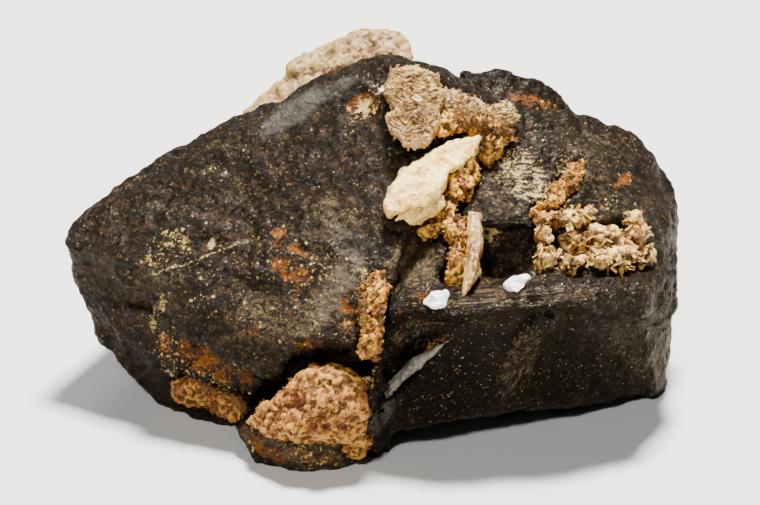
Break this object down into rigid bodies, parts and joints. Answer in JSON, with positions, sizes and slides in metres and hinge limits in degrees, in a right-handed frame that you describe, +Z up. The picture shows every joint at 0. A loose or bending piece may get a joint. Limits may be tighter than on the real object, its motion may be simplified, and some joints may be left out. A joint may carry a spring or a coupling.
{
  "type": "ferberite after scheelite specimen",
  "caption": "Hand specimen of blunt dark ferberite crystals grown together, with cream quartz and ochre iron oxide along the join, on a broken flat base.",
  "frame": {"origin": "middle of the specimen's bounding box, on the surface that it stands on", "axes": "+X to the right along the specimen's length, +Y away from its front, +Z up"},
  "size_m": [0.075, 0.0512, 0.0431],
  "materials": {
    "ferberite": "dark brown-black, submetallic, finely drusy",
    "quartz_cream": "cream quartz, waxy, slightly stained",
    "quartz_clear": "cloudy grey-brown quartz, glassy",
    "quartz_white": "white chips, matt",
    "quartz_stained": "sugary quartz stained by iron",
    "iron_oxide": "ochre iron oxide, earthy"
  },
  "bodies": {
    "root": {"ferberite_crystals": "ferberite", "quartz_behind_peak": "quartz_cream", "quartz_blade": "quartz_cream", "quartz_splinter": "quartz_cream", "quartz_upper_plate": "quartz_clear", "quartz_shoulder_plate": "quartz_clear", "white_chip_left": "quartz_white", "white_chip_right": "quartz_white", "upper_vein_crust": "iron_oxide", "lower_vein_crust": "iron_oxide", "pocket_crust": "quartz_cream", "slope_patch": "iron_oxide", "quartz_on_toe": "quartz_stained", "ochre_vein": "iron_oxide", "diagonal_seam": "quartz_clear", "shelf_quartz": "quartz_stained"}
  },
  "joints": []
}
